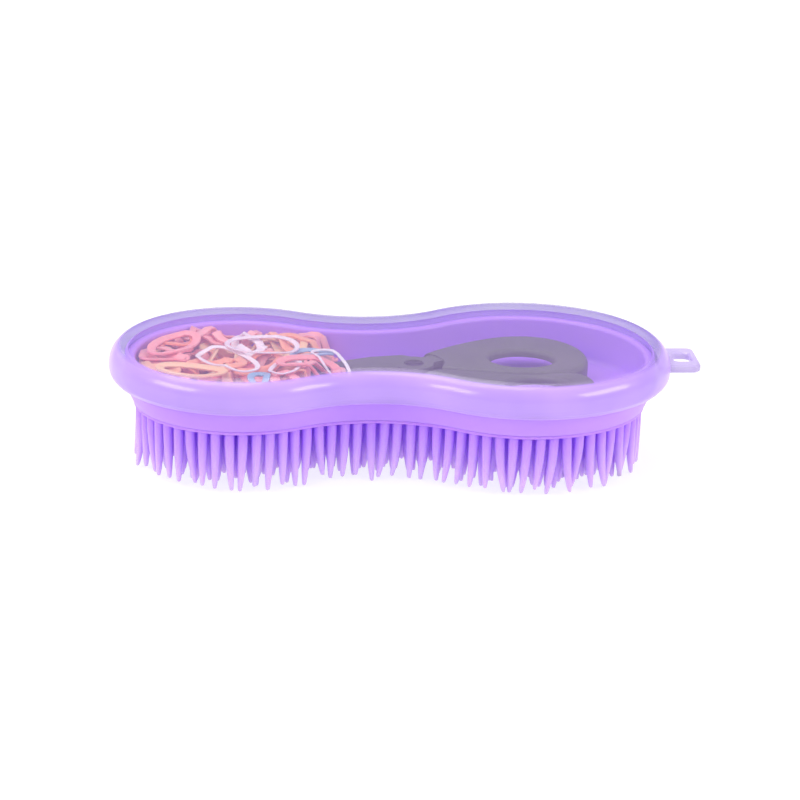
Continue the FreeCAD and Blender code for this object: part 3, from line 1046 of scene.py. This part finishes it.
# %% Heap: fill the tray
COLOUR_MIX = ["pink"] * 10 + ["orange"] * 4 + ["yellow"] * 2 + ["clear"] * 1
LOOP_LENGTHS, LOOP_WIDTHS = (15, 23), (7, 13)
TRIES, MOST_MISSES, MOST_LOOPS = 12, 500, 190
LEAST_ROOM, HEAP_CEILING = 0.6, 35.3


def heap_limit(x):
    """How high the heap may be at a place along the tray."""
    along = min(1.0, max(0.0, (-22.0 - x) / 14))
    return TRAY_FLOOR + 5.5 + 5.6 * along ** 0.7


def roomiest_place(heap, dice):
    best = None
    for _ in range(TRIES):
        x, y = dice.uniform(-80, -26), dice.uniform(-25, 27)
        if not inside_wall(np.array([[x, y]]))[0]:
            continue
        room = heap_limit(x) - heap.top[heap.window(x, y, 4.0)].mean()
        if best is None or room > best[0]:
            best = (room, x, y)
    return best


def fill_heap():
    dice = random.Random(11)
    heap = Heap()
    misses = 0
    while misses < MOST_MISSES and len(heap.loops) < MOST_LOOPS:
        best = roomiest_place(heap, dice)
        if best is None or best[0] < LEAST_ROOM:
            misses += 1
            continue
        path = loop_path(best[1:], dice.uniform(*LOOP_LENGTHS), dice.uniform(*LOOP_WIDTHS),
                         dice.uniform(0, 180), dice.uniform(0.3, 1.0), dice)
        t = np.linspace(0, 2 * np.pi, LOOP_POINTS, endpoint=False)
        twist = dice.uniform(-0.4, 0.4) + dice.uniform(0.1, 0.7) * np.sin(t + dice.uniform(0, 6))
        loop = heap.drop(path, twist, 3, dice.choice(COLOUR_MIX), dice.uniform(0, 1))
        if (loop["z"] + loop["tall"]).max() > HEAP_CEILING:
            misses += 1
            continue
        heap.keep(loop)
    return heap, dice


heap, dice = fill_heap()
print(len(heap.loops), "elastics, up to", round(max(l["z"].max() for l in heap.loops), 1), "mm")

# %% [markdown]
# The last few loops are listed one by one: the ones on top, which the eye picks out. Each row gives
# a loop's colour, its middle, its length and width, its turn, its thickness against a usual loop,
# and how far it strays from a plain oval. They are pulled tauter than the rest, so they lie like
# rings.

# %% Heap: the loops on top
TOP_LIMIT, TOP_PULLS, TOP_TWIST = 36.7, 30, 0.2
TOP_RINGS = (
    ("yellow", (-67, -17), 20, 8, -20, 1.0, 0.3), ("blue", (-46, -20.5), 9, 5, 85, 0.8, 0.2),
    ("blue", (-29, 3.0), 12, 5, 5, 0.8, 0.3), ("clear", (-38, -13), 15, 8, 70, 0.5, 0.4),
    ("pink", (-31, -9), 18, 9, 10, 1.0, 0.3), ("pink", (-72, 8), 20, 11, 60, 1.0, 0.3),
    ("clear", (-55.5, -6), 24, 14, -58, 0.6, 0.1), ("clear", (-44.5, 7), 22, 17, -10, 0.6, 0.1),
    ("orange", (-62, -19), 19, 7, -10, 1.0, 0.2), ("clear", (-23.5, -3), 15, 9, -60, 0.4, 0.1))
for colour, centre, length, width, angle, scale, wobble in TOP_RINGS:
    path = loop_path(centre, length, width, angle, wobble, dice)
    twist = np.full(LOOP_POINTS, TOP_TWIST)
    loop = heap.drop(path, twist, TOP_PULLS, colour, dice.uniform(0.2, 0.8), scale)
    if (loop["z"] + loop["tall"]).max() < TOP_LIMIT:
        heap.keep(loop)
    else:
        print("no room for", colour, centre)
print(len(heap.loops), "elastics in all")

# %% [markdown]
# Rubber of five colours. Each loop carries a number, its tone, as an attribute of its mesh, and the
# colour ramp reads it, so no two neighbours match. A little subsurface light makes thin rubber glow.

# %% Rubber


def rubber(name, light, dark, roughness=0.34):
    material, nodes = new_material(name)
    place = nodes.make("ShaderNodeTexCoord", output="Object")
    tone = nodes.make("ShaderNodeAttribute", {"attribute_name": "tone"}, None, "Fac")
    cloud = nodes.make("ShaderNodeTexNoise", None,
                       {"Vector": place, "Scale": 260.0, "Detail": 2.0}, "Fac")
    mixed = tone * 0.75 + cloud * 0.25
    colour = nodes.make("ShaderNodeValToRGB", {"stops": [
        (0.1, linear(*light)), (0.9, linear(*dark))]}, {"Fac": mixed})
    surface = nodes.make("ShaderNodeBsdfPrincipled", None, {
        "Base Color": colour, "Roughness": roughness + cloud * 0.1,
        "Subsurface Weight": 0.35, "Subsurface Radius": (0.003, 0.0015, 0.0015),
        "Subsurface Scale": 1.0})
    finish_material(nodes, surface)
    return material


RUBBER = {"pink": rubber("band_pink", (255, 180, 172), (255, 138, 138)),
          "orange": rubber("band_orange", (255, 188, 142), (255, 152, 114)),
          "yellow": rubber("band_yellow", (254, 214, 170), (252, 190, 134)),
          "clear": rubber("band_clear", (250, 236, 238), (240, 214, 224)),
          "blue": rubber("band_blue", (176, 186, 208), (120, 176, 206))}


# %% [markdown]
# A loop becomes a mesh by carrying a flat rounded section round its line. The section turns with
# the loop's twist, so a band may lie flat in one place and stand on edge in another. Curve to Mesh
# could do it, but numpy gives every ring of points at once, with the twist in the same sum.

# %% Loops as meshes
BAND_SIDES, BAND_SQUARENESS = 8, 0.6


def band_rings(loop):
    """Points of a loop's cross-sections, one ring for each point of its line."""
    around = np.linspace(0, 2 * np.pi, BAND_SIDES, endpoint=False) + np.pi / BAND_SIDES
    flat_x = np.sign(np.cos(around)) * np.abs(np.cos(around)) ** BAND_SQUARENESS
    flat_y = np.sign(np.sin(around)) * np.abs(np.sin(around)) ** BAND_SQUARENESS
    centre = np.column_stack([loop["path"], loop["z"]])
    tangent = np.roll(centre, -1, 0) - np.roll(centre, 1, 0)
    tangent /= np.linalg.norm(tangent, axis=1)[:, None] + 1e-9
    side = np.cross(tangent, (0.0, 0.0, 1.0))
    side /= np.linalg.norm(side, axis=1)[:, None] + 1e-9
    up = np.cross(side, tangent)
    c, s = np.cos(loop["twist"])[:, None], np.sin(loop["twist"])[:, None]
    wide, thin = c * side + s * up, c * up - s * side
    w, h = BAND_HALF_WIDTH * loop["scale"], BAND_HALF_THICK * loop["scale"]
    return (centre[:, None, :] + wide[:, None, :] * (flat_x * w)[None, :, None]
            + thin[:, None, :] * (flat_y * h)[None, :, None])


def band_mesh(name, loops, material):
    """All loops of one colour as one mesh, with each loop's tone on its points."""
    verts, faces, tones = [], [], []
    for loop in loops:
        rings = band_rings(loop)
        count, start = len(rings), len(verts)
        verts += [tuple(p * MM) for p in rings.reshape(-1, 3)]
        for k in range(count):
            here, there = start + k * BAND_SIDES, start + ((k + 1) % count) * BAND_SIDES
            for i in range(BAND_SIDES):
                j = (i + 1) % BAND_SIDES
                faces.append((here + i, there + i, there + j, here + j))
        tones += [loop["tone"]] * (count * BAND_SIDES)
    mesh = bpy.data.meshes.new(name)
    mesh.from_pydata(verts, [], faces)
    mesh.attributes.new("tone", "FLOAT", "POINT").data.foreach_set("value", tones)
    mesh.materials.append(material)
    item = mesh_object(name, mesh)
    work = bmesh.new()
    work.from_mesh(mesh)
    bmesh.ops.recalc_face_normals(work, faces=work.faces)
    work.to_mesh(mesh)
    work.free()
    smooth_by_angle(item, 60)
    return item


for colour, material in RUBBER.items():
    loops = [loop for loop in heap.loops if loop["colour"] == colour]
    piece = band_mesh("elastics_" + colour + "_look", loops, material)
    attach(piece, "base")
    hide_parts("elastics_" + colour)
    print(piece.name, len(loops), "loops,", len(piece.data.polygons), "faces")
